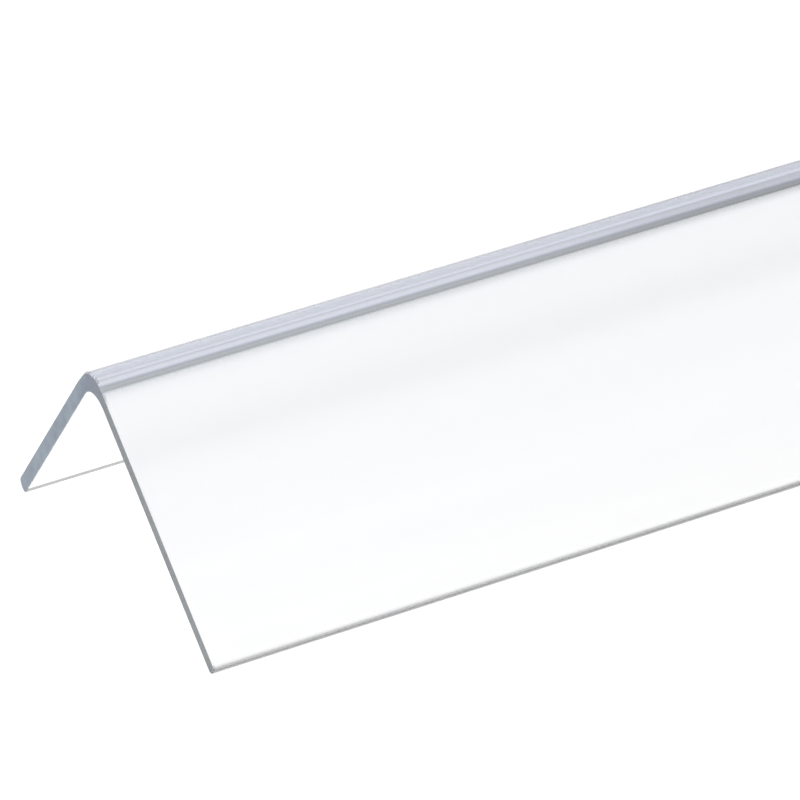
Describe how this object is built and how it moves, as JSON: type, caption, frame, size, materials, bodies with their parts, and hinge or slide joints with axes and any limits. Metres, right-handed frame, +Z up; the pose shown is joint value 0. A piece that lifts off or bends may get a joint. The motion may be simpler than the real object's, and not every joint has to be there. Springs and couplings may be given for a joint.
{
  "type": "corner guard moulding",
  "caption": "Clear plastic angle moulding with a rounded nose and equal wings, that covers and protects the outside corner of a wall.",
  "frame": {"origin": "middle of the footprint, on the floor that the two wing tips stand on", "axes": "+X along the length, +Z up through the nose, +Y from the front wing to the back wing"},
  "size_m": [1, 0.0558, 0.0277],
  "materials": {
    "clear_plastic": "clear, smooth, with matt sawn ends"
  },
  "bodies": {
    "root": {"corner_guard": "clear_plastic"}
  },
  "joints": []
}
